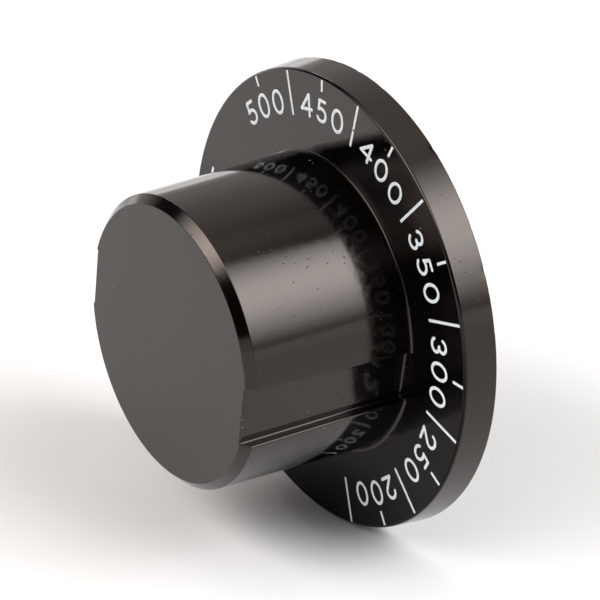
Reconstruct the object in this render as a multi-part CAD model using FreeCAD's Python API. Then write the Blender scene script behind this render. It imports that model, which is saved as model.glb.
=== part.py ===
import FreeCAD, Part
import math
import os

# A push-on thermostat dial: a black moulded body, the spring that grips the shaft and a printed scale.
# The shaft axis is Y, the grip faces -Y and +Z is up. The origin is the centre of the shaft socket's mouth,
# which lies in the plane of the flange's rear rim. Lengths are millimetres and angles are degrees.
# An angle is measured about the shaft axis, from +X towards +Z, as seen from in front of the dial.

# Flange that carries the scale
FLANGE_DIAMETER = 60.3
FLANGE_THICKNESS = 4.45
RIM_TAPER = 0.37
RIM_BEVEL_WIDTH = 0.42
RIM_WIDTH = 2.6
DISH_DEPTH = 1.5

# Grip: a tapered round cup with its closed end in front
GRIP_HEIGHT = 22.9
GRIP_BASE_DIAMETER = 38.4
GRIP_DRAFT_ANGLE = 1.55
GRIP_CHAMFER_WIDTH = 1.05
BASE_SLOPE_WIDTH = 0.3
FRONT_WALL_THICKNESS = 2.8

# Two opposite flat-bottomed finger recesses, drafted so that the mould can open. The overrun is the length
# of the cut, which leaves through the grip's front, as a share of the grip's height.
RECESS_ANGLE = 170.5
RECESS_COUNT = 2
RECESS_FRONT_WIDTH = 8.0
RECESS_BASE_WIDTH = 6.9
RECESS_FRONT_DEPTH = 1.68
RECESS_BASE_DEPTH = 1.45
RECESS_FILLET = 0.25
RECESS_OVERRUN_RATIO = 1.05

# Hollow behind the grip. The recess wall is what is left between it and a recess's floor, at the grip's base.
RECESS_WALL_THICKNESS = 1.85
CAVITY_DRAFT_ANGLE = 1.5
CAVITY_CORNER_WIDTH = 1.2

# Hub and the ribs that tie it to the grip's wall
HUB_WALL = 1.9
HUB_DRAFT_ANGLE = 0.75
RIB_COUNT = 4
RIB_FIRST_ANGLE = 45.0
RIB_THICKNESS = 1.8
RIB_SETBACK = 2.5

# Shaft that the dial is pushed on to, and its D-shaped socket
SHAFT_DIAMETER = 6.35
SHAFT_ACROSS_FLAT = 4.76
SHAFT_CLEARANCE = 0.05
SOCKET_DEPTH = 19.0
SOCKET_LEAD_IN = 0.5

# Hairpin spring that presses the shaft against the socket's flat, and its slot above the socket
SPRING_THICKNESS = 0.4
SPRING_WIDTH = 4.0
SPRING_LENGTH = 14.0
SPRING_BEND_RADIUS = 0.45
SPRING_TURN_FLAT = 0.2
SPRING_REACH = 0.3
SPRING_TIP_GAP = 1.6
SPRING_LIP_LENGTH = 1.2
SLOT_CLEARANCE = 0.05
SLOT_RISE = 2.1

# Printed scale: the temperatures lie at short marks, with long marks half way between them. A mark's length
# is measured inwards from the bevel's inner edge, where every mark ends.
HIGHEST_MARK_ANGLE = 119.4
MARK_PITCH_ANGLE = 15.0
MARK_COUNT = 14
LONG_MARK_LENGTH = 5.8
SHORT_MARK_LENGTH = 1.6
MARK_WIDTH = 0.36
INK_THICKNESS = 0.04
PRINT_SHIFT_X = -0.35
PRINT_SHIFT_Z = 0.08

# Planes and radii that follow from the sizes above
FACE_Y = -FLANGE_THICKNESS
FRONT_Y = FACE_Y - GRIP_HEIGHT
CAVITY_END_Y = FRONT_Y + FRONT_WALL_THICKNESS
FLANGE_REAR_RADIUS = FLANGE_DIAMETER / 2
FLANGE_FRONT_RADIUS = FLANGE_REAR_RADIUS - RIM_TAPER
SCALE_RADIUS = FLANGE_FRONT_RADIUS - RIM_BEVEL_WIDTH
DISH_RADIUS = FLANGE_REAR_RADIUS - RIM_WIDTH
GRIP_BASE_RADIUS = GRIP_BASE_DIAMETER / 2
GRIP_FRONT_RADIUS = GRIP_BASE_RADIUS - GRIP_HEIGHT * math.tan(math.radians(GRIP_DRAFT_ANGLE))
RECESS_BASE_FLOOR = GRIP_BASE_RADIUS - RECESS_BASE_DEPTH
RECESS_FRONT_FLOOR = GRIP_FRONT_RADIUS - RECESS_FRONT_DEPTH
CAVITY_MOUTH_RADIUS = RECESS_BASE_FLOOR - RECESS_WALL_THICKNESS
SOCKET_RADIUS = SHAFT_DIAMETER / 2 + SHAFT_CLEARANCE
SOCKET_FLAT = SHAFT_ACROSS_FLAT - SHAFT_DIAMETER / 2 + SHAFT_CLEARANCE
SLOT_WIDTH = SPRING_WIDTH + 2 * SLOT_CLEARANCE
SLOT_DEPTH = SPRING_LENGTH + SLOT_CLEARANCE
SLOT_FLOOR = SOCKET_RADIUS + SLOT_RISE
HUB_MOUTH_RADIUS = SLOT_FLOOR + HUB_WALL
SEAT_Y = (FACE_Y - DISH_DEPTH) / 2

ORIGIN = FreeCAD.Vector(0, 0, 0)
SHAFT_AXIS = FreeCAD.Vector(0, 1, 0)
TURN_AXIS = FreeCAD.Vector(0, -1, 0)


def point(x, y, z=0.0):
    return FreeCAD.Vector(x, y, z)


def polygon(points):
    """A closed flat face through the points."""
    return Part.Face(Part.makePolygon(points + points[:1]))


def turned(shape, angle):
    """A copy turned about the shaft axis, from +X towards +Z."""
    copy = shape.copy()
    copy.rotate(ORIGIN, TURN_AXIS, angle)
    return copy


def drafted(length, draft):
    """How far a wall of this length leans at this draft."""
    return length * math.tan(math.radians(draft))


def rounded_path(corners, radii):
    """Edges through the corners. Each inner corner is turned by a tangent arc, or left sharp at radius 0."""
    edges = []
    start = corners[0]
    for before, corner, after, radius in zip(corners, corners[1:], corners[2:], radii):
        inward = (before - corner).normalize()
        outward = (after - corner).normalize()
        half_angle = inward.getAngle(outward) / 2
        arc_start = corner + inward * (radius / math.tan(half_angle))
        arc_end = corner + outward * (radius / math.tan(half_angle))
        arc_middle = corner + (inward + outward).normalize() * (radius / math.sin(half_angle) - radius)
        edges.append(Part.LineSegment(start, arc_start).toShape())
        if radius > 0:
            edges.append(Part.Arc(arc_start, arc_middle, arc_end).toShape())
        start = arc_end
    edges.append(Part.LineSegment(start, corners[-1]).toShape())
    return edges


def rounded_outline(corners, radii):
    """A closed wire: the rounded path through the corners and a straight line back to its start."""
    closing = Part.LineSegment(corners[-1], corners[0]).toShape()
    return Part.Wire(rounded_path(corners, radii) + [closing])


def revolved(outline):
    """The solid that an outline of (radius, y) pairs sweeps about the shaft axis."""
    return polygon([point(radius, y) for radius, y in outline]).revolve(ORIGIN, SHAFT_AXIS, 360)


def flange():
    """The disc: its rim tapers towards the front and ends in a small bevel, and its back is dished."""
    return revolved([
        (0, FACE_Y),
        (SCALE_RADIUS, FACE_Y),
        (FLANGE_FRONT_RADIUS, FACE_Y + RIM_BEVEL_WIDTH),
        (FLANGE_REAR_RADIUS, 0),
        (DISH_RADIUS, 0),
        (DISH_RADIUS, -DISH_DEPTH),
        (0, -DISH_DEPTH),
    ])


def grip_blank():
    """The grip before its recesses: a slight cone with a chamfered front edge and a narrow slope at its base."""
    return revolved([
        (0, SEAT_Y),
        (0, FRONT_Y),
        (GRIP_FRONT_RADIUS - GRIP_CHAMFER_WIDTH, FRONT_Y),
        (GRIP_FRONT_RADIUS, FRONT_Y + GRIP_CHAMFER_WIDTH),
        (GRIP_BASE_RADIUS, FACE_Y - BASE_SLOPE_WIDTH),
        (GRIP_BASE_RADIUS + BASE_SLOPE_WIDTH, FACE_Y),
        (GRIP_BASE_RADIUS + BASE_SLOPE_WIDTH, SEAT_Y),
    ])


def recess_section(fraction):
    """The recess cutter's corners at a fraction of the way from the flange to the grip's front."""
    half_width = (RECESS_BASE_WIDTH + fraction * (RECESS_FRONT_WIDTH - RECESS_BASE_WIDTH)) / 2
    floor = RECESS_BASE_FLOOR + fraction * (RECESS_FRONT_FLOOR - RECESS_BASE_FLOOR)
    y = FACE_Y - fraction * GRIP_HEIGHT
    outside = GRIP_BASE_DIAMETER
    return [
        point(outside, y, half_width),
        point(floor, y, half_width),
        point(floor, y, -half_width),
        point(outside, y, -half_width),
    ]


def flat_sided_prism(base, top):
    """The solid between two outlines with the same number of corners, all of its sides flat.

    Both outlines run clockwise as seen from behind the top, so that every face points outwards."""
    faces = [polygon(base[::-1]), polygon(top)]
    for number in range(len(base)):
        after = (number + 1) % len(base)
        faces.append(polygon([base[number], base[after], top[after], top[number]]))
    return Part.makeSolid(Part.makeShell(faces))


def recess_cutter():
    """The drafted prism that cuts one recess, on the +X side, with both edges of its floor rounded."""
    prism = flat_sided_prism(recess_section(0), recess_section(RECESS_OVERRUN_RATIO))
    long_edges = [edge for edge in prism.Edges if edge.BoundBox.YLength > GRIP_HEIGHT]
    floor_edges = [edge for edge in long_edges if edge.CenterOfMass.x < GRIP_BASE_RADIUS]
    return prism.makeFillet(RECESS_FILLET, floor_edges)


def grip():
    """The grip with its finger recesses."""
    shape = grip_blank()
    for number in range(RECESS_COUNT):
        shape = shape.cut(turned(recess_cutter(), RECESS_ANGLE + number * 360 / RECESS_COUNT))
    return shape


def cavity():
    """The hollow behind the grip, narrower towards its closed end, with a sloping corner there."""
    end_radius = CAVITY_MOUTH_RADIUS - drafted(-CAVITY_END_Y, CAVITY_DRAFT_ANGLE)
    return revolved([
        (0, 0),
        (CAVITY_MOUTH_RADIUS, 0),
        (end_radius, CAVITY_END_Y + CAVITY_CORNER_WIDTH),
        (end_radius - CAVITY_CORNER_WIDTH, CAVITY_END_Y),
        (0, CAVITY_END_Y),
    ])


def hub():
    """The tapered boss that holds the shaft, from the front wall back to the rim's plane."""
    end_radius = HUB_MOUTH_RADIUS + drafted(-CAVITY_END_Y, HUB_DRAFT_ANGLE)
    overlap = FRONT_WALL_THICKNESS / 2
    return revolved([
        (0, 0),
        (HUB_MOUTH_RADIUS, 0),
        (end_radius, CAVITY_END_Y),
        (end_radius, CAVITY_END_Y - overlap),
        (0, CAVITY_END_Y - overlap),
    ])


def rib():
    """One web from the hub to the grip's wall, on the +X side."""
    rear_y = -DISH_DEPTH - RIB_SETBACK
    overlap = FRONT_WALL_THICKNESS / 2
    length = (CAVITY_MOUTH_RADIUS + RECESS_FRONT_FLOOR) / 2
    depth = rear_y - CAVITY_END_Y + overlap
    corner = point(0, CAVITY_END_Y - overlap, -RIB_THICKNESS / 2)
    return Part.makeBox(length, depth, RIB_THICKNESS, corner)


def d_outline(y, margin):
    """The socket's D at this depth, its flat below the axis, grown on all sides by a margin."""
    radius = SOCKET_RADIUS + margin
    flat = SOCKET_FLAT + margin
    half_chord = math.sqrt(radius ** 2 - flat ** 2)
    right = point(half_chord, y, -flat)
    left = point(-half_chord, y, -flat)
    top = point(0, y, radius)
    return Part.Wire([Part.Arc(right, top, left).toShape(), Part.LineSegment(left, right).toShape()])


def socket():
    """The D-shaped hole for the shaft, with a lead-in at its mouth."""
    bore = Part.Face(d_outline(0, 0)).extrude(point(0, -SOCKET_DEPTH))
    lead_in = Part.makeLoft([d_outline(-SOCKET_LEAD_IN, 0), d_outline(0, SOCKET_LEAD_IN)], True, True)
    return bore.fuse(lead_in)


def spring_slot():
    """The slot above the socket for the spring, with a shallow pocket for its lip in the hub's rear face."""
    pocket_y = -SPRING_THICKNESS - SLOT_CLEARANCE
    past_the_hub = 2 * HUB_MOUTH_RADIUS
    lip_seat_radius = SPRING_BEND_RADIUS - SPRING_THICKNESS / 2 - SLOT_CLEARANCE
    left = -SLOT_WIDTH / 2
    corners = [
        point(left, -SLOT_DEPTH, 0),
        point(left, -SLOT_DEPTH, SLOT_FLOOR),
        point(left, pocket_y, SLOT_FLOOR),
        point(left, pocket_y, past_the_hub),
        point(left, 0, past_the_hub),
        point(left, 0, 0),
    ]
    side = Part.Face(rounded_outline(corners, [0, lip_seat_radius, 0, 0]))
    return side.extrude(point(SLOT_WIDTH, 0))


def dial_body():
    """The whole moulding: flange, grip, hollow, ribbed hub and shaft socket in one piece."""
    shape = flange().fuse(grip()).removeSplitter()
    shape = shape.cut(cavity())
    for number in range(RIB_COUNT):
        shape = shape.fuse(turned(rib(), RIB_FIRST_ANGLE + number * 360 / RIB_COUNT))
    shape = shape.fuse(hub())
    return shape.cut(socket()).cut(spring_slot()).removeSplitter()


def retaining_spring():
    """The hairpin: its lipped leg lies on the slot's floor, and its other leg bows into the socket."""
    half = SPRING_THICKNESS / 2
    outer_leg = SLOT_FLOOR - SLOT_CLEARANCE - half
    lip_end = outer_leg + SPRING_LIP_LENGTH
    bow_top = SOCKET_RADIUS - SPRING_REACH + half
    turn_height = outer_leg - 2 * SPRING_BEND_RADIUS - SPRING_TURN_FLAT
    corners = [
        point(0, -half, lip_end),
        point(0, -half, outer_leg),
        point(0, half - SPRING_LENGTH, outer_leg),
        point(0, half - SPRING_LENGTH, turn_height),
        point(0, -SPRING_LENGTH / 2, bow_top),
        point(0, -SPRING_TIP_GAP, turn_height),
    ]
    path = Part.Wire(rounded_path(corners, [SPRING_BEND_RADIUS] * 4))
    side = SPRING_WIDTH / 2
    section = Part.makePolygon([
        point(-side, -SPRING_THICKNESS, lip_end),
        point(side, -SPRING_THICKNESS, lip_end),
        point(side, 0, lip_end),
        point(-side, 0, lip_end),
        point(-side, -SPRING_THICKNESS, lip_end),
    ])
    return path.makePipeShell([section], True, False)


def scale_ticks():
    """The printed marks: a thin disc of ink inside each mark's narrow strip."""
    ink = revolved([
        (0, FACE_Y),
        (SCALE_RADIUS, FACE_Y),
        (SCALE_RADIUS, FACE_Y - INK_THICKNESS),
        (0, FACE_Y - INK_THICKNESS),
    ])
    marks = []
    for number in range(MARK_COUNT):
        length = LONG_MARK_LENGTH if number % 2 else SHORT_MARK_LENGTH
        strip = Part.makeBox(
            2 * length, INK_THICKNESS, MARK_WIDTH,
            point(SCALE_RADIUS - length, FACE_Y - INK_THICKNESS, -MARK_WIDTH / 2)
        )
        strip = turned(strip, HIGHEST_MARK_ANGLE - number * MARK_PITCH_ANGLE)
        strip.translate(point(PRINT_SHIFT_X, 0, PRINT_SHIFT_Z))
        marks.append(ink.common(strip).Solids[0])
    return Part.makeCompound(marks)


def main():
    os.makedirs("parts", exist_ok=True)
    pieces = {
        "dial_body": dial_body(),
        "retaining_spring": retaining_spring(),
        "scale_ticks": scale_ticks(),
    }
    for name, shape in pieces.items():
        shape.exportStep("parts/" + name + ".step")
        print(name, "solids", len(shape.Solids), "valid", shape.isValid(), "volume", round(shape.Volume, 2))


main()
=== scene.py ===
import math

import bpy
import numpy as np
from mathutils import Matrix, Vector


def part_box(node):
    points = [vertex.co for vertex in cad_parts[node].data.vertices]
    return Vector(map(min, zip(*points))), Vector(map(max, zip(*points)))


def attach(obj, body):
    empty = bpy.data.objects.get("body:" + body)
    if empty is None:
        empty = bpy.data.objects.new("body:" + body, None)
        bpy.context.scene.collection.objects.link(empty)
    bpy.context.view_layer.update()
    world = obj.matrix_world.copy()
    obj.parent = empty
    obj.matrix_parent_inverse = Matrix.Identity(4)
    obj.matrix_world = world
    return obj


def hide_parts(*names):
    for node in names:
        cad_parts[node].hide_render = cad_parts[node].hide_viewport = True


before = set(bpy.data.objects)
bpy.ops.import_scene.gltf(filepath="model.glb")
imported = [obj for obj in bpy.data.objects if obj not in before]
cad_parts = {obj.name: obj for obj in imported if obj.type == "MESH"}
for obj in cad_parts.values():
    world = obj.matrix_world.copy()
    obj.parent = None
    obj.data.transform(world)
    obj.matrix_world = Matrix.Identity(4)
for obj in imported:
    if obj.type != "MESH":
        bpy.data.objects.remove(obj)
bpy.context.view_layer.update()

# A push-on thermostat dial that stands on its flange's rim. The shaft axis is Y, the grip faces -Y, +Z is up.
# Lengths are millimetres up to the moment a mesh, a material or the camera is made, and angles are degrees.
# An angle round the dial runs from +X towards +Z, as seen from in front.
MM = 0.001
body_low, body_high = (np.array(corner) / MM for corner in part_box("dial_body"))

# Flange, from the frame's box and the moulding's own sizes
FLANGE_REAR_RADIUS = float(body_high[0])
FLANGE_FRONT_RADIUS = FLANGE_REAR_RADIUS - 0.47
FACE_Y = -4.45
FACE_START_RADIUS = 20.5
FLANGE_EDGE_ROUND = 0.40
REAR_EDGE_ROUND = 0.14
RIM_WIDTH = 2.6
DISH_Y = -1.5
DISH_EDGE_ROUND = 0.15
DISH_CORNER_ROUND = 0.3

# Grip
FRONT_Y = float(body_low[1])
GRIP_BASE_RADIUS = 19.2
GRIP_DRAFT = 1.55
GRIP_CHAMFER = 1.05
BASE_FILLET = 0.28
EDGE_ROUND = 0.13

# The two finger recesses
RECESS_ANGLE = 350.5
RECESS_BASE_HALF = 3.45
RECESS_FRONT_HALF = 4.0
RECESS_BASE_FLOOR = 17.75
RECESS_FRONT_FLOOR = 16.9
RECESS_CORNER = 0.24
RECESS_MOUTH_ROUND = 0.19

# Hollow back, hub and ribs. The rounds are at the hollow's mouth, at both ends of its sloping corner, at the
# hub's foot and at the hub's edge.
CAVITY_MOUTH_RADIUS = 15.9
DISH_END_RADIUS = CAVITY_MOUTH_RADIUS - 0.04
CAVITY_END_Y = -24.55
CAVITY_DRAFT = 1.5
CAVITY_CORNER = 1.2
HOLLOW_ROUNDS = (0.15, 0.5, 0.5, 0.4, 0.12)
HUB_MOUTH_RADIUS = 7.225
HUB_END_RADIUS = 7.546
RIB_ANGLES = (45.0, 135.0, 225.0, 315.0)
RIB_HALF = 0.9
RIB_Y = -4.0
RIB_EDGE = 0.06
RIB_LEAN = 0.02

# D socket and the spring's slot
SOCKET_RADIUS = 3.225
SOCKET_FLAT = 1.635
SOCKET_END_Y = -19.0
LEAD_IN = 0.5
SLOT_HALF = 2.05
SLOT_TOP = 5.325
SLOT_END_Y = -14.05
POCKET_Y = -0.45

# Print
INK_Y = FACE_Y
INK_THICKNESS = 0.03
PRINT_SHIFT = (-0.35, 0.08)
HIGHEST_ANGLE = 119.4
NUMBER_STEP = 30.0
NUMBERS = ("500", "450", "400", "350", "300", "250", "200")
OFF_ANGLE = 167.9
DIGIT_RADIUS = 25.15
DIGIT_STEP = 7.45
DIGIT_LEAN = -0.3
STROKE_HALF = 0.215
# By how much each stroke of a figure stands over the one before
STROKE_RISE = 0.002
# How far each number stands from its even place, clockwise and outwards, and how much further clockwise
# a zero stands after another zero
PRINT_SLIPS = {
    "500": (0.06, 0.11), "450": (0.17, 0.09), "400": (0.06, -0.02), "350": (-0.04, -0.10),
    "300": (-0.04, -0.10), "250": (0.09, 0.16), "200": (-0.16, 0.25), "OFF": (0.0, -0.14),
}
ZEROS_APART = 0.19

# Camera, fitted to the outlines of the grip and the flange in a photograph of the dial
CAMERA_PLACE = (267.286, -189.542, 149.867)
CAMERA_AIM = (1.812, -8.946, 1.880)
CAMERA_LENS = 171.05
CAMERA_SENSOR = 36.0

FLOOR_Z = -FLANGE_REAR_RADIUS

# Wear. Each chip has a place on an edge, a reach and a depth, and each speck a place and a reach.
CHIPS = (
    ((-2.9, 0.0, 30.0), 0.26, 0.07), ((1.5, 0.0, 30.1), 0.30, 0.08), ((6.2, 0.0, 29.5), 0.28, 0.07),
    ((16.8, 0.0, 25.1), 0.32, 0.12), ((24.5, 0.0, 17.6), 0.26, 0.07), ((27.2, 0.0, 13.0), 0.30, 0.14),
    ((29.5, 0.0, 6.2), 0.25, 0.06), ((-19.0, 0.0, 23.4), 0.30, 0.09), ((-21.3, 0.0, -21.3), 0.35, 0.10),
)
RUST_SPECKS = (
    ((-10.2, -4.45, 17.6), 0.22), ((-7.9, -4.45, 17.9), 0.30), ((-6.9, -4.45, 18.2), 0.18),
    ((-16.6, -4.45, 17.4), 0.16), ((16.4, -27.1, -4.4), 0.20), ((16.55, -27.2, -3.3), 0.14),
    ((16.7, -17.9, -4.8), 0.16), ((17.45, -16.1, -7.2), 0.20),
)
DUST_SPECKS = (
    ((-0.34, -6.06, 19.15), 0.13), ((0.6, -6.2, 19.14), 0.10), ((13.2, -4.45, 24.6), 0.12),
    ((6.7, -15.0, 17.5), 0.10), ((20.4, -4.45, 17.1), 0.12), ((-12.4, -27.35, 3.1), 0.10),
)
# How far the ragged edges of specks wander, and in how many waves to the metre
RAGGED, RAGGED_WAVES = 0.11, 3500.0
INK_BREAK, INK_BREAK_REACH = (6.65, -4.48, 24.98), (0.11, 0.22)

# How strongly the moulding mirrors, and by how much its gloss is turned down beside the flange and low on the
# flange's face, as painted shade that dims the reflections there
MIRRORING, PAINTED_DIMMING_BESIDE_FLANGE, PAINTED_SHADE_LOW_ON_FACE = 0.5, 0.36, 0.38
# Where the moulding's finish and its painted shade change: each pair is where the change starts and ends, as a
# radius, along the shaft or in height
GRIP_TO_FLANGE_RADIUS = (19.5, 19.8)
RUBBED_Y = (-13.0, -9.5)
PAINTED_DIMMING_Y = (-10.4, -8.2)
FOOT_Y = (-4.9, -4.75)
FACE_TO_RIM_Y = (-4.3, -4.0)
PAINTED_SHADE_Z = (0.0, 12.0)

# Colours of the moulding, its gloss, its pits, its specks, the ink and the ink's break
BLACK, GLOSS = (0.0016, 0.0013, 0.0011, 1), (1.0, 0.87, 0.80, 1)
PIT, RUST, DUST = (0.012, 0.010, 0.008, 1), (0.16, 0.085, 0.045, 1), (0.50, 0.48, 0.45, 1)
INK, BARE = (0.885, 0.955, 1.0, 1), (0.05, 0.05, 0.05, 1)


# Meshes

def mesh_object(name, vertices, faces, sharp_angle=None):
    """An object with its place in its mesh. Vertices are in millimetres. Faces are smooth, and where an angle
    is given, edges that turn by more than it stay sharp."""
    mesh = bpy.data.meshes.new(name)
    mesh.from_pydata((np.asarray(vertices) * MM).tolist(), [], [list(face) for face in faces])
    mesh.polygons.foreach_set("use_smooth", np.ones(len(mesh.polygons), dtype=bool))
    if sharp_angle is not None:
        mesh.set_sharp_from_angle(angle=math.radians(sharp_angle))
    mesh.validate()
    mesh.update()
    made = bpy.data.objects.new(name, mesh)
    bpy.context.scene.collection.objects.link(made)
    return made


def grid_faces(rows, columns, first=0, wrap=True):
    """Quads between neighbouring rows of a grid whose vertices are numbered row by row. With wrap the last
    column joins the first."""
    span = columns if wrap else columns - 1
    row, column = np.mgrid[0:rows - 1, 0:span]
    after = (column + 1) % columns
    here, below = row * columns, (row + 1) * columns
    return np.stack([here + column, here + after, below + after, below + column], -1).reshape(-1, 4) + first


def rounded_profile(corners, radii, steps=6, support=0.03):
    """A path through 2-D corners. Each corner with a radius becomes a tangent arc: its centre lies on the
    bisector, radius / sin(half the corner's angle) away, and its points turn evenly from one tangent point
    to the other. A support point a hair before and after keeps the flats flat when they are shaded."""
    corners = np.asarray(corners, float)
    path = [corners[0]]
    for before, corner, after, radius in zip(corners, corners[1:], corners[2:], radii):
        inward = (before - corner) / np.linalg.norm(before - corner)
        outward = (after - corner) / np.linalg.norm(after - corner)
        half = math.acos(np.clip(inward @ outward, -1, 1)) / 2
        reach = radius / math.tan(half)
        centre = corner + (inward + outward) / np.linalg.norm(inward + outward) * radius / math.sin(half)
        start, end = corner + inward * reach, corner + outward * reach
        path.append(corner + inward * (reach + support))
        turn = np.linspace(0, 1, steps + 1)[:, None]
        sweep = math.pi - 2 * half
        from_start = np.sin((1 - turn) * sweep) * (start - centre)
        from_end = np.sin(turn * sweep) * (end - centre)
        path.extend(centre + (from_start + from_end) / math.sin(sweep))
        path.append(corner + outward * (reach + support))
    path.append(corners[-1])
    return np.array(path)


# Columns of the moulding's grid. They run round the dial, and each keeps its number from the front's centre
# over the rim to the bottom of the socket. First come the points of half a recess and of the arc between two.
FLOOR_POINTS, CORNER_POINTS, WALL_POINTS, MOUTH_POINTS, ARC_POINTS = 12, 8, 7, 8, 200
# Angles on the rim from a recess's middle: its wall's columns, those where its mouth meets the circle, the
# first that stand clear of it, and the stretch over which the grip's columns go back to their even places
WALL_ANGLE, MEETING_ANGLE, CLEAR_ANGLE, SLACK_ANGLE = 8.6, 10.8, 11.5, 25.0
# The share of the wall's angle that the recess's floor takes, and the least gap between an even column and
# one that follows an edge
FLOOR_SHARE, COLUMN_GAP = 0.94, 0.35
# The shares of a low wall's height that its corner and its mouth may take, and the least round
CORNER_SHARE, MOUTH_SHARE, LEAST_ROUND = 0.55, 0.4, 0.004

# Rows of the grid: points on a round, on the chamfer and down the grip's side, shares of the way from the
# front's centre to its edge and from the rim's front to its rear, and levels down the socket
ROUND_POINTS, CHAMFER_POINTS, SIDE_POINTS = 9, 5, 16
CAP_SHARES = (0.03, 0.2, 0.45, 0.7, 0.88, 0.97, 0.995)
RIM_SHARES = (0.3, 0.55, 0.72, 0.83, 0.91, 0.96)
SLOT_LEVELS, DEEP_LEVEL = (-4.0, -8.0, -12.0), -16.5


def eased(count):
    """Shares from 0 to 1 that crowd together at both ends: half of 1 minus the cosine of an even turn."""
    return (1 - np.cos(np.linspace(0, math.pi, count))) / 2


def quarter_outline(radius, floor, half_width, corner, mouth):
    """Half of one recess in its own frame, from the middle of its floor to the grip's circle: straight floor,
    hollow corner arc, straight wall and rounded mouth. Where the wall is low the two arcs shrink with it.
    The second value is the angle at which the circle takes over."""
    height = math.sqrt(radius ** 2 - half_width ** 2) - floor
    corner = max(min(corner, CORNER_SHARE * height), LEAST_ROUND)
    mouth = max(min(mouth, MOUTH_SHARE * height), LEAST_ROUND)
    floor_line = np.stack([np.full(FLOOR_POINTS, floor), eased(FLOOR_POINTS) * (half_width - corner)], 1)
    turn = np.radians(np.linspace(180, 90, CORNER_POINTS + 1))[1:]
    corner_arc = np.stack([floor + corner + corner * np.cos(turn),
                           half_width - corner + corner * np.sin(turn)], 1)
    mouth_x = math.sqrt((radius - mouth) ** 2 - (half_width + mouth) ** 2)
    meets = math.atan2(half_width + mouth, mouth_x)
    along = eased(WALL_POINTS)[1:]
    wall_x = floor + corner + along * (mouth_x - floor - corner)
    wall = np.stack([wall_x, np.full(WALL_POINTS - 1, half_width)], 1)
    turn = np.linspace(-math.pi / 2, meets, MOUTH_POINTS + 1)[1:]
    mouth_arc = np.stack([mouth_x + mouth * np.cos(turn), half_width + mouth + mouth * np.sin(turn)], 1)
    return np.concatenate([floor_line, corner_arc, wall, mouth_arc]), math.degrees(meets)


def strip_edges(radius):
    """Angles of the columns that follow the ribs' and the pocket's parallel sides at this radius: an edge at
    a lateral distance d lies at arcsin(d / radius) from the strip's middle."""
    angles = []
    for centre, laterals in STRIPS:
        laterals = np.array(laterals)
        offsets = np.degrees(np.arcsin(np.concatenate([-laterals[::-1], laterals]) / radius))
        angles.extend(centre + offsets)
    return np.array(angles)


STRIPS = [(angle, (RIB_HALF - RIB_EDGE, RIB_HALF, RIB_HALF + RIB_LEAN)) for angle in RIB_ANGLES]
STRIPS.append((90.0, (SLOT_HALF, SLOT_HALF + RIB_LEAN)))
SLOT_MOUTH_COLUMNS = (60.0, 120.0)
FLAT_CORNER_COLUMNS = (211.0, 329.0)


def column_bases():
    """The columns' angles on the outer rim, from the middle of the right recess once round. Between the
    recesses they are even, with the special columns put in; inside a recess they follow its points."""
    half = WALL_ANGLE * np.concatenate([
        FLOOR_SHARE * eased(FLOOR_POINTS),
        np.linspace(FLOOR_SHARE, 1, CORNER_POINTS + WALL_POINTS)[1:],
        1 + np.linspace(0, 1, MOUTH_POINTS + 1)[1:] * (MEETING_ANGLE / WALL_ANGLE - 1),
    ])
    first_arc = (RECESS_ANGLE - 360 + MEETING_ANGLE, RECESS_ANGLE - 180 - MEETING_ANGLE)
    second_arc = (RECESS_ANGLE - 180 + MEETING_ANGLE, RECESS_ANGLE - MEETING_ANGLE)
    special = np.concatenate([strip_edges(FLANGE_REAR_RADIUS), SLOT_MOUTH_COLUMNS, FLAT_CORNER_COLUMNS])

    def between_recesses(start, end):
        """Even columns on one arc of the rim, with the special ones that lie on it put in."""
        even = np.linspace(start, end, ARC_POINTS)[1:-1]
        inner = special[(special > start) & (special < end)]
        even = even[np.min(np.abs(even[:, None] - inner), axis=1) > COLUMN_GAP]
        return np.sort(np.concatenate([even, inner]))

    right, left = RECESS_ANGLE - 360, RECESS_ANGLE - 180
    parts = [right + half, between_recesses(*first_arc), left - half[::-1]]
    parts += [left + half[1:], between_recesses(*second_arc), right + 360 - half[:0:-1]]
    return parts, np.concatenate(parts)


COLUMN_PARTS, COLUMN_BASES = column_bases()
COLUMNS = len(COLUMN_BASES)


def section(radius, floor, half_width, corner, mouth):
    """The grip's outline across the shaft, as (x, z) for every column: half a recess, an arc of the circle,
    the other recess, the second arc and the first recess's other half."""
    half, meets = quarter_outline(radius, floor, half_width, corner, mouth)
    mirrored = half * (1, -1)
    pieces = [half]
    for part in (1, 4):
        angles = COLUMN_PARTS[part] - (RECESS_ANGLE - 360 if part == 1 else RECESS_ANGLE - 180)
        moved = np.interp(angles, (MEETING_ANGLE, 180 - MEETING_ANGLE), (meets, 180 - meets))
        slack = np.clip((np.minimum(angles, 180 - angles) - MEETING_ANGLE) / SLACK_ANGLE, 0, 1)
        angles = np.radians(moved * (1 - slack) + angles * slack)
        circle = radius * np.stack([np.cos(angles), np.sin(angles)], 1)
        if part == 1:
            pieces += [circle, (half * (-1, 1))[::-1], (-half)[1:]]
        else:
            pieces += [-circle, mirrored[:0:-1]]
    points = np.concatenate(pieces)
    turn = math.radians(RECESS_ANGLE - 360)
    return points @ np.array([[math.cos(turn), math.sin(turn)], [-math.sin(turn), math.cos(turn)]])


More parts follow.
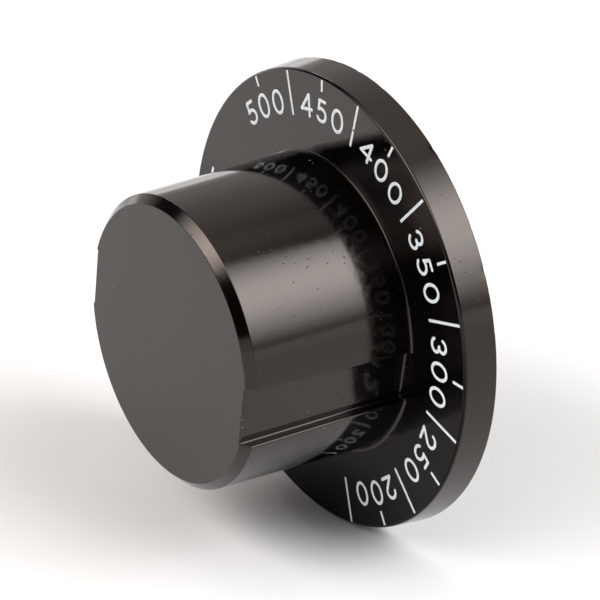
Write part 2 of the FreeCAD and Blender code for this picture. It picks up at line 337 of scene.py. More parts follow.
def circle_row(radius, y):
    """A row on a plain circle, with the strips' columns parallel to their ribs."""
    special = strip_edges(FLANGE_REAR_RADIUS)
    moved = strip_edges(min(radius, FLANGE_REAR_RADIUS))
    right, left = RECESS_ANGLE - 360, RECESS_ANGLE - 180
    fixed = np.array([right, right + MEETING_ANGLE, *SLOT_MOUTH_COLUMNS, left - CLEAR_ANGLE,
                      left + CLEAR_ANGLE, *FLAT_CORNER_COLUMNS, RECESS_ANGLE - CLEAR_ANGLE, RECESS_ANGLE])
    outer = np.concatenate([special, fixed])
    order = np.argsort(outer)
    inner = np.concatenate([moved, fixed])
    angles = np.radians(np.interp(COLUMN_BASES, outer[order], inner[order]))
    return np.stack([radius * np.cos(angles), np.full(COLUMNS, y), radius * np.sin(angles)], 1)


def lifted(outline, y):
    """A flat outline of (x, z) points put at height y along the shaft."""
    return np.stack([outline[:, 0], np.broadcast_to(y, len(outline)), outline[:, 1]], 1)


def grip_section(y, offset=0.0, radius=None):
    """The grip's outline at y. The circle, the recesses' floors and their widths all change evenly from base
    to front, and an offset moves every side outwards."""
    share = (FACE_Y - y) / (FACE_Y - FRONT_Y)
    if radius is None:
        radius = GRIP_BASE_RADIUS - (FACE_Y - y) * math.tan(math.radians(GRIP_DRAFT))
    floor = RECESS_BASE_FLOOR + share * (RECESS_FRONT_FLOOR - RECESS_BASE_FLOOR)
    half_width = RECESS_BASE_HALF + share * (RECESS_FRONT_HALF - RECESS_BASE_HALF)
    return section(radius + offset, floor + offset, half_width - offset,
                   RECESS_CORNER - offset, RECESS_MOUTH_ROUND + offset)


def front_rows():
    """Rows from the front's centre over the rounded edge, the chamfer and the grip's side to its foot."""
    side_radius = GRIP_BASE_RADIUS - (FACE_Y - FRONT_Y) * math.tan(math.radians(GRIP_DRAFT))
    meridian = rounded_profile(
        [(side_radius - GRIP_CHAMFER - 0.5, FRONT_Y), (side_radius - GRIP_CHAMFER, FRONT_Y),
         (side_radius, FRONT_Y + GRIP_CHAMFER), (GRIP_BASE_RADIUS, FACE_Y)], (EDGE_ROUND, EDGE_ROUND))
    turn = np.radians(np.linspace(90, 0, ROUND_POINTS))
    chamfer_end = FRONT_Y + GRIP_CHAMFER
    edge_y = FRONT_Y + EDGE_ROUND * (1 - np.sin(turn))
    chamfer_y = np.linspace(FRONT_Y + EDGE_ROUND, chamfer_end - 0.12, CHAMFER_POINTS)[1:]
    corner_y = meridian[(meridian[:, 1] > chamfer_end - 0.1) & (meridian[:, 1] < chamfer_end + 0.15), 1]
    side_y = np.linspace(chamfer_end + 0.3, FACE_Y - BASE_FILLET - 0.03, SIDE_POINTS)
    rows = []
    for y in np.concatenate([edge_y, chamfer_y, corner_y, side_y]):
        radius = float(np.interp(y, meridian[1:, 1], meridian[1:, 0]))
        inset = EDGE_ROUND - math.sqrt(max(EDGE_ROUND ** 2 - max(FRONT_Y + EDGE_ROUND - y, 0) ** 2, 0))
        outline = grip_section(y, offset=-inset, radius=radius + inset)
        rows.append(lifted(outline, y))
    for angle in turn:
        y = FACE_Y - BASE_FILLET * (1 - math.cos(angle))
        rows.append(lifted(grip_section(y, offset=BASE_FILLET * (1 - math.sin(angle))), y))
    centre = np.array([0, FRONT_Y, 0])
    return [centre + (rows[0] - centre) * share for share in CAP_SHARES] + rows


def flange_rows():
    """Rows over the flange's face, its rounded edge, the rim's side, the rear rim and the dish."""
    dish_radius = FLANGE_REAR_RADIUS - RIM_WIDTH
    outer = rounded_profile(
        [(FACE_START_RADIUS, FACE_Y), (FLANGE_FRONT_RADIUS, FACE_Y), (FLANGE_REAR_RADIUS, 0),
         (dish_radius, 0), (dish_radius, DISH_Y), (DISH_END_RADIUS, DISH_Y)],
        (FLANGE_EDGE_ROUND, REAR_EDGE_ROUND, DISH_EDGE_ROUND, DISH_CORNER_ROUND), steps=9)
    last_on_rim = int(np.argmax(outer[:, 1] > -0.3))
    start, end = outer[last_on_rim - 1], outer[last_on_rim]
    along_rim = start + (end - start) * np.array(RIM_SHARES)[:, None]
    outer = np.insert(outer, last_on_rim, along_rim, axis=0)
    return [circle_row(radius, y) for radius, y in outer[:-1]]


def hollow_rows():
    """Rows down the hollow's wall, over its floor and up the hub. In a rib's columns no row goes below the
    rib's rear edge, and in the pocket's columns no row of the hub rises above the pocket's floor."""
    cavity_end = CAVITY_MOUTH_RADIUS + CAVITY_END_Y * math.tan(math.radians(CAVITY_DRAFT))
    profile = rounded_profile(
        [(CAVITY_MOUTH_RADIUS + 1.5, DISH_Y), (DISH_END_RADIUS, DISH_Y),
         (cavity_end, CAVITY_END_Y + CAVITY_CORNER), (cavity_end - CAVITY_CORNER, CAVITY_END_Y),
         (HUB_END_RADIUS, CAVITY_END_Y), (HUB_MOUTH_RADIUS, 0), (HUB_MOUTH_RADIUS - 0.6, 0)],
        HOLLOW_ROUNDS, steps=4)
    longest_step = 2.5
    dense = [profile[0]]
    for start, end in zip(profile, profile[1:]):
        count = max(int(np.linalg.norm(end - start) / longest_step), 1)
        dense.extend(start + (end - start) * share for share in np.linspace(0, 1, count + 1)[1:])
    rows = []
    for radius, y in dense[1:-2]:
        row = circle_row(radius, y)
        lateral = strip_lateral(row)
        for level, edge in ((RIB_Y, RIB_HALF - RIB_EDGE / 2), (RIB_Y - RIB_EDGE, RIB_HALF + RIB_LEAN / 2)):
            on_rib = lateral[0] < edge
            row[:, 1] = np.where(on_rib, np.maximum(row[:, 1], level), row[:, 1])
        if radius < HUB_END_RADIUS + 0.5:
            in_pocket = lateral[1] < SLOT_HALF + RIB_LEAN / 2
            row[:, 1] = np.where(in_pocket, np.minimum(row[:, 1], POCKET_Y), row[:, 1])
        rows.append(row)
    return rows


def strip_lateral(row):
    """For every point, the lateral distance to the nearest rib's middle line and to the pocket's."""
    angles = np.degrees(np.arctan2(row[:, 2], row[:, 0]))
    radius = np.hypot(row[:, 0], row[:, 2])
    to_rib = np.min([np.abs((angles - middle + 180) % 360 - 180) for middle in RIB_ANGLES], axis=0)
    to_pocket = np.abs((angles - 90 + 180) % 360 - 180)
    return [radius * np.sin(np.radians(np.minimum(offset, 90))) for offset in (to_rib, to_pocket)]


def socket_outline(margin, slot=True):
    """The D with its slot, as (x, z) for every column: arcs of the circle beside the slot and above the flat,
    straight lines for the slot's walls, its top and the flat. Without the slot the arc closes over it."""
    radius, flat = SOCKET_RADIUS + margin, SOCKET_FLAT + margin
    angle = COLUMN_BASES % 360
    pocket_edge = math.degrees(math.asin(SLOT_HALF / FLANGE_REAR_RADIUS))
    flat_turn = math.degrees(math.asin(flat / radius))
    slot_turn = math.degrees(math.acos(SLOT_HALF / radius))
    on_arc = np.where(angle > 270, angle - 360, angle)
    right_end, left_end = FLAT_CORNER_COLUMNS[1] - 360, FLAT_CORNER_COLUMNS[0]
    knots = (SLOT_MOUTH_COLUMNS[0], 90 - pocket_edge, 90 + pocket_edge, SLOT_MOUTH_COLUMNS[1])
    right_turns, left_turns = (-flat_turn, slot_turn), (180 - slot_turn, 180 + flat_turn)
    if slot:
        turn = np.interp(on_arc, (right_end, *SLOT_MOUTH_COLUMNS, left_end), right_turns + left_turns)
    else:
        closing = 4
        over_slot = (slot_turn + closing, 180 - closing - slot_turn)
        turn = np.interp(on_arc, (right_end, *knots, left_end), right_turns + over_slot + left_turns)
    x, z = radius * np.cos(np.radians(turn)), radius * np.sin(np.radians(turn))
    on_flat = (angle > FLAT_CORNER_COLUMNS[0]) & (angle < FLAT_CORNER_COLUMNS[1])
    half_chord = math.sqrt(radius ** 2 - flat ** 2)
    x = np.where(on_flat, np.interp(angle, FLAT_CORNER_COLUMNS, (-half_chord, half_chord)), x)
    z = np.where(on_flat, -flat, z)
    if slot:
        mouth_z = math.sqrt(radius ** 2 - SLOT_HALF ** 2)
        in_slot = (angle >= knots[0]) & (angle <= knots[3])
        x = np.where(in_slot, np.interp(angle, knots, (SLOT_HALF, SLOT_HALF, -SLOT_HALF, -SLOT_HALF)), x)
        z = np.where(in_slot, np.interp(angle, knots, (mouth_z, SLOT_TOP, SLOT_TOP, mouth_z)), z)
    return np.stack([x, z], 1)


def socket_rows(hub_edge):
    """Rows from the hub's edge over its rear face, down the socket and the slot, to the socket's bottom."""
    in_slot = hub_edge[:, 1] < POCKET_Y / 2
    mouth = lifted(socket_outline(LEAD_IN), 0.0)
    mouth[:, 1] = np.where(in_slot, POCKET_Y, 0.0)
    rows = [hub_edge + (mouth - hub_edge) * share for share in (0.15, 0.5, 0.85)]
    rows.append(mouth)
    for y in (-LEAD_IN, -LEAD_IN - 0.05, *SLOT_LEVELS, SLOT_END_Y):
        rows.append(lifted(socket_outline(0.0), y))
    closed = lifted(socket_outline(0.0, slot=False), SLOT_END_Y)
    closed[:, 1] = np.where(np.abs(closed[:, 0]) < SLOT_HALF + 0.01, SLOT_END_Y, SLOT_END_Y - 0.2)
    rows.append(closed)
    for y in (SLOT_END_Y - 0.4, DEEP_LEVEL, SOCKET_END_Y):
        rows.append(lifted(socket_outline(0.0, slot=False), y))
    bottom, centre = rows[-1], np.array([0, SOCKET_END_Y, 0])
    return rows + [centre + (bottom - centre) * share for share in (0.9, 0.5, 0.1)]


def chipped(points):
    """The points with small chips: each sinks straight towards the shaft axis by the chip's depth times
    exp(-(distance / reach) squared)."""
    radius = np.maximum(np.hypot(points[:, 0], points[:, 2]), 0.01)
    sunk = np.zeros(len(points))
    for place, reach, depth in CHIPS:
        sunk += depth * np.exp(-(np.linalg.norm(points - place, axis=1) / reach) ** 2)
    return points * np.stack([1 - sunk / radius, np.ones(len(points)), 1 - sunk / radius], 1)


def moulding():
    """The whole black moulding as one closed grid, from the front's centre to the socket's bottom."""
    rows = front_rows() + flange_rows() + hollow_rows()
    rows += socket_rows(rows[-1])
    count = len(rows)
    vertices = chipped(np.concatenate(rows + [[[0, FRONT_Y, 0]], [[0, SOCKET_END_Y, 0]]]))
    first_pole, last_pole = count * COLUMNS, count * COLUMNS + 1
    column = np.arange(COLUMNS)
    after = (column + 1) % COLUMNS
    front_fan = np.stack([np.full(COLUMNS, first_pole), after, column], 1)
    last_row = (count - 1) * COLUMNS
    back_fan = np.stack([np.full(COLUMNS, last_pole), last_row + column, last_row + after], 1)
    faces = grid_faces(count, COLUMNS).tolist() + front_fan.tolist() + back_fan.tolist()
    return mesh_object("moulding", vertices, faces, sharp_angle=32)


# Print. A figure is made of strokes: each is a straight line or an arc of an ellipse, in millimetres from the
# figure's middle, x to its right and y to its top. The points of each kind of stroke:
LINE_POINTS, CURVE_POINTS = 9, 49


def line(x0, y0, x1, y1):
    """Points evenly along a straight stroke."""
    share = np.linspace(0, 1, LINE_POINTS)[:, None]
    return np.array([x0, y0]) * (1 - share) + np.array([x1, y1]) * share


def arc(x, y, width, height, start, end):
    """Points along an arc: x + width * cos(angle), y + height * sin(angle), for an even run of angles."""
    angles = np.radians(np.linspace(start, end, CURVE_POINTS))
    return np.stack([x + width * np.cos(angles), y + height * np.sin(angles)], 1)


FIGURES = {
    "0": [arc(0, -0.02, 1.03, 1.40, 90, 450)],
    "2": [arc(-0.08, 0.45, 0.88, 0.79, 178, -32), line(0.67, 0.03, -0.86, -1.45),
          line(-0.86, -1.46, 0.98, -1.44)],
    "3": [arc(-0.10, 0.66, 0.77, 0.72, 166, -72), arc(-0.06, -0.64, 0.84, 0.72, 86, -166)],
    "4": [line(0.59, 1.38, 0.50, -1.34), line(0.57, 1.38, -1.13, -0.56), line(-1.13, -0.57, 1.06, -0.47)],
    "5": [line(-0.52, 1.32, 0.68, 1.32), line(-0.52, 1.32, -0.66, 0.16),
          arc(-0.12, -0.52, 0.93, 0.83, 128, -148)],
    "O": [arc(0, -0.02, 1.18, 1.40, 90, 450)],
    "F": [line(-0.72, 1.34, -0.72, -1.34), line(-0.72, 1.34, 0.78, 1.34), line(-0.72, 0.06, 0.55, 0.06)],
}


def figure_place(angle, radius):
    """The middle, rightward and upward directions of a figure that stands at an angle, its top outwards."""
    turn = math.radians(angle)
    upward = np.array([math.cos(turn), 0, math.sin(turn)])
    rightward = np.array([math.sin(turn), 0, -math.cos(turn)])
    middle = radius * upward + np.array([PRINT_SHIFT[0], INK_Y, PRINT_SHIFT[1]])
    return middle, rightward, upward


def stroke_ribbon(path, half_width, thickness, closed):
    """A ribbon of ink on the path. Beyond an open end its half width falls as sqrt(w squared minus d
    squared), with d the distance past the end, so that the end is round. Across, it rises over its soft
    edge to a flat top."""
    if closed:
        before, after = np.roll(path[:-1], 1, axis=0), np.roll(path[:-1], -1, axis=0)
        path, tangent = path[:-1], after - before
        widths = np.full(len(path), half_width)
    else:
        tangent = np.gradient(path, axis=0)
        tangent /= np.linalg.norm(tangent, axis=1, keepdims=True)
        past = half_width * np.sin(np.radians([15, 35, 55, 75, 88]))
        start = path[0] - past[::-1, None] * tangent[0]
        end = path[-1] + past[:, None] * tangent[-1]
        caps = np.sqrt(half_width ** 2 - past ** 2)
        widths = np.concatenate([caps[::-1], np.full(len(path), half_width), caps])
        at_start, at_end = (np.repeat(ends, len(past), axis=0) for ends in (tangent[:1], tangent[-1:]))
        tangent = np.concatenate([at_start, tangent, at_end])
        path = np.concatenate([start, path, end])
    tangent = tangent / np.linalg.norm(tangent, axis=1, keepdims=True)
    side = np.stack([-tangent[:, 1], tangent[:, 0]], 1)
    across = np.array([-1, -1, -0.86, 0, 0.86, 1, 1])
    heights = np.array([0, 0.55, 1, 1, 1, 0.55, 0]) * thickness
    flat = path[:, None] + side[:, None] * (widths[:, None] * across)[..., None]
    return np.concatenate([flat, np.broadcast_to(heights[:, None], flat.shape[:2] + (1,))], 2)


def printed_word(name, text, angle):
    """The figures of one number or word, side by side on their circle."""
    vertices, faces, count = [], [], 0
    for place, letter in enumerate(text):
        at = angle - DIGIT_LEAN - (place - (len(text) - 1) / 2) * DIGIT_STEP
        middle, rightward, upward = figure_place(at, DIGIT_RADIUS)
        clockwise, outward = PRINT_SLIPS[text]
        if text[place - 1:place + 1] == "00":
            clockwise += ZEROS_APART
        middle = middle + clockwise * rightward + outward * upward
        for number, path in enumerate(FIGURES[letter]):
            closed = bool(np.allclose(path[0], path[-1]))
            ribbon = stroke_ribbon(path, STROKE_HALF, INK_THICKNESS + STROKE_RISE * number, closed)
            rows, columns = ribbon.shape[:2]
            points = middle + ribbon[..., :1] * rightward + ribbon[..., 1:2] * upward
            points = points + ribbon[..., 2:] * (0, -1, 0)
            quads = grid_faces(rows, columns, count, wrap=False)
            if closed:
                first = count + np.arange(columns - 1)
                last = first + (rows - 1) * columns
                quads = np.concatenate([quads, np.stack([last, last + 1, first + 1, first], 1)])
            vertices.append(points.reshape(-1, 3))
            faces.extend(quads.tolist())
            count += rows * columns
    return mesh_object(name, np.concatenate(vertices), faces, sharp_angle=60)


# Materials

class ShaderTree:
    """The nodes of a material or of the world, with the few steps that the finishes are made of. A source is
    the output of a node, and most may also be a number or a colour."""

    def __init__(self, node_tree):
        self.nodes, self.links = node_tree.nodes, node_tree.links

    def join(self, source, socket):
        """A source linked to a socket, or set on it where it is a number or a colour."""
        if isinstance(source, (int, float, tuple)):
            socket.default_value = source
        else:
            self.links.new(source, socket)

    def ramp(self, source, stops):
        """A grey ramp on a value. Each stop is a place and a grey level."""
        made = self.nodes.new("ShaderNodeValToRGB")
        elements = made.color_ramp.elements
        while len(elements) > 1:
            elements.remove(elements[-1])
        elements[0].position = stops[0][0]
        elements[0].color = (*[stops[0][1]] * 3, 1)
        for place, level in stops[1:]:
            elements.new(place).color = (*[level] * 3, 1)
        self.join(source, made.inputs["Fac"])
        return made.outputs["Color"]

    def noise(self, coordinates, scale, detail=3.0, roughness=0.5):
        """Smooth noise on a piece's own coordinates. The scale is in waves to the metre."""
        made = self.nodes.new("ShaderNodeTexNoise")
        made.inputs["Scale"].default_value = scale
        made.inputs["Detail"].default_value = detail
        made.inputs["Roughness"].default_value = roughness
        self.join(coordinates, made.inputs["Vector"])
        return made.outputs["Fac"]

    def calculated(self, operation, first, second):
        """One sum on two sources."""
        made = self.nodes.new("ShaderNodeMath")
        made.operation = operation
        self.join(first, made.inputs[0])
        self.join(second, made.inputs[1])
        return made.outputs[0]

    def product(self, *sources):
        """All the sources multiplied together."""
        total = sources[0]
        for source in sources[1:]:
            total = self.calculated("MULTIPLY", total, source)
        return total

    def between(self, source, start, end, low, high):
        """A value that goes evenly from low to high while the source goes from start to end."""
        made = self.nodes.new("ShaderNodeMapRange")
        self.join(source, made.inputs["Value"])
        for name, level in (("From Min", start), ("From Max", end), ("To Min", low), ("To Max", high)):
            made.inputs[name].default_value = level
        return made.outputs["Result"]

    def over(self, source, stretch, low, high):
        """The same over a stretch that is given by its two ends in millimetres."""
        return self.between(source, stretch[0] * MM, stretch[1] * MM, low, high)

    def nearby(self, coordinates, place, start, end):
        """1 within the first distance of a place and 0 beyond the second, both in millimetres."""
        distance = self.nodes.new("ShaderNodeVectorMath")
        distance.operation = "DISTANCE"
        distance.inputs[1].default_value = [MM * length for length in place]
        self.join(coordinates, distance.inputs[0])
        return self.over(distance.outputs["Value"], (start, end), 1.0, 0.0)

    def spotted(self, coordinates, spots):
        """1 on each of the spots and 0 elsewhere, with soft edges. The edges are ragged, because the
        coordinates are shaken by noise first."""
        shake = self.nodes.new("ShaderNodeTexNoise")
        shake.inputs["Scale"].default_value = RAGGED_WAVES
        self.join(coordinates, shake.inputs["Vector"])
        spread = self.nodes.new("ShaderNodeVectorMath")
        spread.operation = "MULTIPLY_ADD"
        self.join(shake.outputs["Color"], spread.inputs[0])
        spread.inputs[1].default_value = [2 * RAGGED * MM] * 3
        self.join(coordinates, spread.inputs[2])
        moved = self.nodes.new("ShaderNodeVectorMath")
        moved.operation = "SUBTRACT"
        self.join(spread.outputs["Vector"], moved.inputs[0])
        moved.inputs[1].default_value = [RAGGED * MM] * 3
        total = 0.0
        for place, reach in spots:
            spot = self.nearby(moved.outputs["Vector"], place, 0.4 * reach, reach)
            total = self.calculated("MAXIMUM", spot, total)
        return total

    def tinted(self, under, share, colour, blend="MIX"):
        """A colour laid over another by a share."""
        mix = self.nodes.new("ShaderNodeMix")
        mix.data_type, mix.blend_type = "RGBA", blend
        self.join(under, mix.inputs["A"])
        self.join(colour, mix.inputs["B"])
        self.join(share, mix.inputs["Factor"])
        return mix.outputs["Result"]

    def bumped(self, height, strength, depth, normal=None, inwards=False):
        """A bump of a strength and a depth in millimetres on a height, over another normal."""
        bump = self.nodes.new("ShaderNodeBump")
        bump.invert = inwards
        bump.inputs["Strength"].default_value = strength
        bump.inputs["Distance"].default_value = depth * MM
        self.join(height, bump.inputs["Height"])
        if normal is not None:
            self.join(normal, bump.inputs["Normal"])
        return bump.outputs["Normal"]


def material(name):
    """An empty material, its tree, its shader's sockets and its own coordinates."""
    made = bpy.data.materials.new(name)
    made.use_nodes = True
    tree = ShaderTree(made.node_tree)
    coordinates = tree.nodes.new("ShaderNodeTexCoord").outputs["Object"]
    return made, tree, tree.nodes["Principled BSDF"].inputs, coordinates


def moulding_material():
    """Polished black phenolic: a deep warm gloss with a faint orange peel, soft scuffs, pits, and a few specks
    of rust and dust. The grip is rubbed beside the flange. There, and low on the flange's face, the gloss is
    turned down as painted shade, so that the moulding mirrors less and its reflections come out darker."""
    made, tree, shader, coordinates = material("polished_black_moulding")
    shader["IOR"].default_value = 1.52
    shader["Specular Tint"].default_value = GLOSS
    cells = tree.nodes.new("ShaderNodeTexVoronoi")
    cells.inputs["Scale"].default_value = 850.0
    cells.inputs["Randomness"].default_value = 1.0
    tree.join(coordinates, cells.inputs["Vector"])
    speck = tree.ramp(cells.outputs["Distance"], [(0.0, 1.0), (0.07, 0.7), (0.115, 0.0)])
    patches = tree.ramp(tree.noise(coordinates, scale=110.0), [(0.36, 0.0), (0.50, 1.0)])
    pitted = tree.product(speck, patches)
    rust = tree.spotted(coordinates, RUST_SPECKS)
    dust = tree.spotted(coordinates, DUST_SPECKS)
    colour = tree.tinted(BLACK, pitted, PIT)
    colour = tree.tinted(colour, tree.product(rust, 0.75), RUST)
    colour = tree.tinted(colour, tree.product(dust, 0.6), DUST)
    tree.join(colour, shader["Base Color"])

    axes = tree.nodes.new("ShaderNodeSeparateXYZ")
    tree.join(coordinates, axes.inputs["Vector"])
    y, z = axes.outputs["Y"], axes.outputs["Z"]
    across = tree.nodes.new("ShaderNodeCombineXYZ")
    tree.join(axes.outputs["X"], across.inputs["X"])
    tree.join(z, across.inputs["Z"])
    from_axis = tree.nodes.new("ShaderNodeVectorMath")
    from_axis.operation = "LENGTH"
    tree.join(across.outputs["Vector"], from_axis.inputs[0])
    on_grip = tree.over(from_axis.outputs["Value"], GRIP_TO_FLANGE_RADIUS, 1.0, 0.0)

    flakes = tree.noise(coordinates, scale=1300.0, detail=4.0, roughness=0.65)
    flakes = tree.ramp(flakes, [(0.46, 0.0), (0.60, 0.09)])
    rubbed = tree.product(tree.over(y, RUBBED_Y, 0.0, 1.0), flakes, on_grip)
    scuffs = tree.noise(coordinates, scale=55.0, detail=5.0, roughness=0.6)
    scuffs = tree.ramp(scuffs, [(0.3, 0.08), (0.75, 0.12)])
    worn = tree.product(tree.calculated("MAXIMUM", pitted, rust), 0.3)
    roughness = tree.calculated("ADD", tree.calculated("ADD", scuffs, rubbed), worn)
    tree.join(roughness, shader["Roughness"])

    # Painted shade: beside the flange and low on the flange's face the gloss is turned down, so that the
    # reflections there come out darker.
    painted_dimming_beside_flange = tree.over(y, PAINTED_DIMMING_Y, 0.0, PAINTED_DIMMING_BESIDE_FLANGE)
    painted_dimming_beside_flange = tree.product(painted_dimming_beside_flange, tree.over(y, FOOT_Y, 1.0, 0.0), on_grip)
    off_grip = tree.calculated("SUBTRACT", 1.0, on_grip)
    painted_shade_low_on_face = tree.product(off_grip, tree.over(z, PAINTED_SHADE_Z, PAINTED_SHADE_LOW_ON_FACE, 0.0))
    painted_shade_low_on_face = tree.product(painted_shade_low_on_face, tree.over(y, FACE_TO_RIM_Y, 1.0, 0.0))
    painted_dimming = tree.calculated("ADD", painted_dimming_beside_flange, painted_shade_low_on_face)
    tree.join(tree.calculated("SUBTRACT", MIRRORING, painted_dimming), shader["Specular IOR Level"])

    peel = tree.bumped(tree.noise(coordinates, scale=900.0, detail=2.0), strength=0.12, depth=0.04)
    pits = tree.bumped(pitted, strength=0.5, depth=0.03, normal=peel, inwards=True)
    tree.join(pits, shader["Normal"])
    return made


def ink_material():
    """White printing ink, slightly uneven where it lies thinner, with a break in one stroke."""
    made, tree, shader, coordinates = material("white_ink")
    shader["Roughness"].default_value = 0.42
    thin = tree.ramp(tree.noise(coordinates, scale=2400.0), [(0.25, 0.84), (0.5, 0.95), (0.8, 0.99)])
    white = tree.tinted(thin, 1.0, INK, blend="MULTIPLY")
    gap = tree.nearby(coordinates, INK_BREAK, *INK_BREAK_REACH)
    tree.join(tree.tinted(white, gap, BARE), shader["Base Color"])
    return made


def spring_material():
    """Tempered spring strip: steel with fine rolling lines along it."""
    made, tree, shader, coordinates = material("tempered_spring_strip")
    shader["Metallic"].default_value = 1.0
    stretch = tree.nodes.new("ShaderNodeMapping")
    stretch.inputs["Scale"].default_value = (30.0, 1.0, 1.0)
    tree.join(coordinates, stretch.inputs["Vector"])
    lines = tree.noise(stretch.outputs["Vector"], scale=260.0, detail=4.0)
    tree.join(tree.ramp(lines, [(0.3, 0.22), (0.7, 0.38)]), shader["Roughness"])
    tree.join(tree.ramp(lines, [(0.3, 0.46), (0.7, 0.60)]), shader["Base Color"])
    return made


def floor_material():
    """A plain pale floor without gloss."""
    made, tree, shader, coordinates = material("pale_floor")
    shader["Roughness"].default_value = 0.9
    shader["Specular IOR Level"].default_value = 0.0
    tone = tree.ramp(tree.noise(coordinates, scale=3.0), [(0.3, 0.81), (0.7, 0.83)])
    tree.join(tone, shader["Base Color"])
    return made


# Surroundings

def direction(azimuth, elevation):
    """The unit direction at an azimuth from in front of the dial, positive to its right, and an elevation."""
    a, e = math.radians(azimuth), math.radians(elevation)
    return Vector((math.sin(a) * math.cos(e), -math.cos(a) * math.cos(e), math.sin(e)))


# The colours of the room's light, of daylight, of lamplight and of the band above the horizon
ROOM, DAY = (1.0, 0.925, 0.885, 1), (0.96, 0.985, 1.0, 1)
LAMP, PLAIN = (1.0, 0.95, 0.92, 1), (1.0, 1.0, 1.0, 1)
# Each soft box: azimuth, elevation, strength, where it starts and stops to fade upwards, downwards and
# sideways, and colour
SOFT_BOXES = (
    (117.6, 39.6, 7.8, (0.04, 0.62), (0.0, 0.69), (0.29, 0.37), DAY),
    (6.1, 45.3, 9.7, (0.12, 0.19), (0.02, 0.23), (0.0, 1.10), LAMP),
    (-96.4, 37.9, 12.8, (0.08, 0.17), (0.08, 0.17), (0.018, 0.04), LAMP),
)
# Each pale wall or ceiling: azimuth, elevation, strength, and the cosines between which it fades in
PALE_SIDES = (
    (-96.4, -3.3, 0.98, 0.76, 0.98), (123.7, 3.6, 0.52, 0.93, 0.97), (-176.9, 84.8, 1.02, 0.85, 0.975),
    (-128.7, 41.1, 0.69, 0.87, 0.98),
)
# The dark corner: azimuth, elevation and the cosines between which the room gets dark
DARK_CORNER = (31.5, 3.0, -0.20, 0.868)
# The room's strength overhead and the heights between which it comes in, and the strength of the pale band
# and the heights between which it ends
ROOM_STRENGTH, ROOM_EDGE = 0.06, (0.0, 0.8)
BAND_STRENGTH, BAND_EDGE = 0.85, (0.10, 0.12)


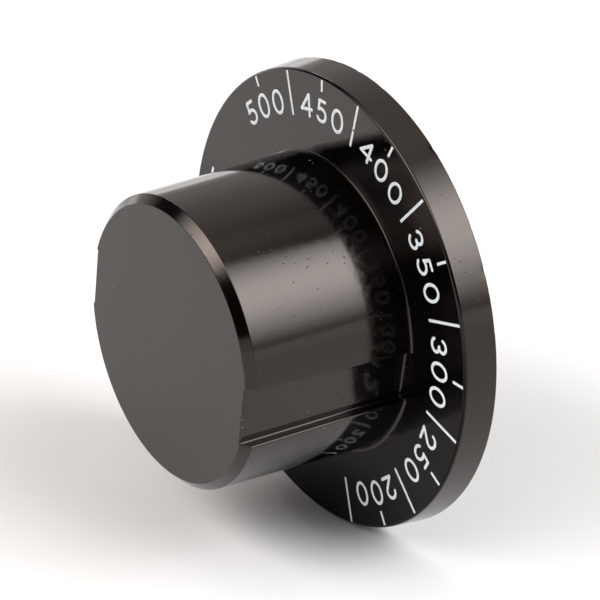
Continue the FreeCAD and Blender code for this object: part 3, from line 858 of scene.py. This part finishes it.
def surroundings():
    """A dim warm room with soft boxes high round the dial, pale walls at its sides and a dark corner where
    the camera stands. A soft box is a rectangle as seen on the plane across its own direction, with edges
    that fade. Just above the horizon, what is seen directly or in a gloss is as pale as the floor."""
    world = bpy.data.worlds.new("studio")
    bpy.context.scene.world = world
    world.use_nodes = True
    tree = ShaderTree(world.node_tree)
    towards = tree.nodes.new("ShaderNodeTexCoord").outputs["Generated"]

    def along(axis):
        """The cosine of the angle between where the light comes from and an axis."""
        made = tree.nodes.new("ShaderNodeVectorMath")
        made.operation = "DOT_PRODUCT"
        tree.join(towards, made.inputs[0])
        made.inputs[1].default_value = axis
        return made.outputs["Value"]

    def fade(source, start, end, low, high):
        """A value that goes from low to high, slowly at both ends."""
        faded = tree.between(source, start, end, low, high)
        faded.node.interpolation_type = "SMOOTHSTEP"
        return faded

    height = along((0, 0, 1))
    azimuth, elevation, start, end = DARK_CORNER
    dark = fade(along(direction(azimuth, elevation)), start, end, 1.0, 0.0)
    ambient = tree.product(fade(height, *ROOM_EDGE, 0.0, ROOM_STRENGTH), dark)
    for azimuth, elevation, strength, start, end in PALE_SIDES:
        side = fade(along(direction(azimuth, elevation)), start, end, 0.0, strength)
        ambient = tree.calculated("ADD", ambient, side)
    lights = [(tree.nodes["Background"], ROOM, ambient)]

    for azimuth, elevation, strength, top, bottom, side, colour in SOFT_BOXES:
        ahead = direction(azimuth, elevation)
        sideways = Vector((ahead.y, -ahead.x, 0)).normalized()
        upwards = sideways.cross(ahead)
        if upwards.z < 0:
            upwards.negate()
        depth = tree.calculated("MAXIMUM", along(ahead), 0.001)
        across = tree.calculated("ABSOLUTE", tree.calculated("DIVIDE", along(sideways), depth), 0.0)
        rise = tree.calculated("DIVIDE", along(upwards), depth)
        shape = tree.product(
            fade(rise, *top, 1.0, 0.0), fade(rise, -bottom[1], -bottom[0], 0.0, 1.0),
            fade(across, *side, 1.0, 0.0), fade(along(ahead), 0.0, 0.1, 0.0, 1.0))
        lights.append((tree.nodes.new("ShaderNodeBackground"), colour, tree.product(shape, strength)))

    path = tree.nodes.new("ShaderNodeLightPath")
    seen = tree.calculated("MAXIMUM", path.outputs["Is Camera Ray"], path.outputs["Is Glossy Ray"])
    seen = tree.calculated("MAXIMUM", seen, path.outputs["Is Transmission Ray"])
    band = tree.product(seen, fade(height, *BAND_EDGE, BAND_STRENGTH, 0.0))
    lights.append((tree.nodes.new("ShaderNodeBackground"), PLAIN, band))

    total = None
    for light, colour, strength in lights:
        light.inputs["Color"].default_value = colour
        tree.join(strength, light.inputs["Strength"])
        if total is None:
            total = light.outputs[0]
        else:
            together = tree.nodes.new("ShaderNodeAddShader")
            tree.join(total, together.inputs[0])
            tree.join(light.outputs[0], together.inputs[1])
            total = together.outputs["Shader"]
    tree.join(total, tree.nodes["World Output"].inputs["Surface"])


def floor():
    """A flat floor under the rim, wide enough to fill every view from above."""
    reach = 4000.0
    sides = ((-1, -1), (1, -1), (1, 1), (-1, 1))
    made = mesh_object("floor", [(reach * x, reach * y, FLOOR_Z) for x, y in sides], [(0, 1, 2, 3)])
    made.data.materials.append(floor_material())


def camera():
    """The camera at the photograph's place, level, aimed at a point inside the dial."""
    made = bpy.data.objects.new("camera", bpy.data.cameras.new("camera"))
    bpy.context.scene.collection.objects.link(made)
    place, aim = Vector(CAMERA_PLACE) * MM, Vector(CAMERA_AIM) * MM
    made.location = place
    made.rotation_mode = "QUATERNION"
    made.rotation_quaternion = (aim - place).to_track_quat("-Z", "Y")
    made.data.sensor_width = CAMERA_SENSOR
    made.data.lens = CAMERA_LENS
    made.data.clip_start, made.data.clip_end = 0.01, 50.0
    bpy.context.scene.camera = made


def dress():
    """Every piece on its body and its material."""
    black, ink, steel = moulding_material(), ink_material(), spring_material()
    body = moulding()
    body.data.materials.append(black)
    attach(body, "root")
    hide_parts("dial_body")
    words = [("number_" + text, text, HIGHEST_ANGLE - place * NUMBER_STEP)
             for place, text in enumerate(NUMBERS)]
    words.append(("word_off", "OFF", OFF_ANGLE))
    for name, text, angle in words:
        print_piece = printed_word(name, text, angle)
        print_piece.data.materials.append(ink)
        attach(print_piece, "root")
    for node, finish in (("scale_ticks", ink), ("retaining_spring", steel)):
        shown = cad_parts[node]
        shown.data.materials.clear()
        shown.data.materials.append(finish)


bpy.context.scene.view_settings.view_transform = "Standard"
dress()
floor()
surroundings()
camera()
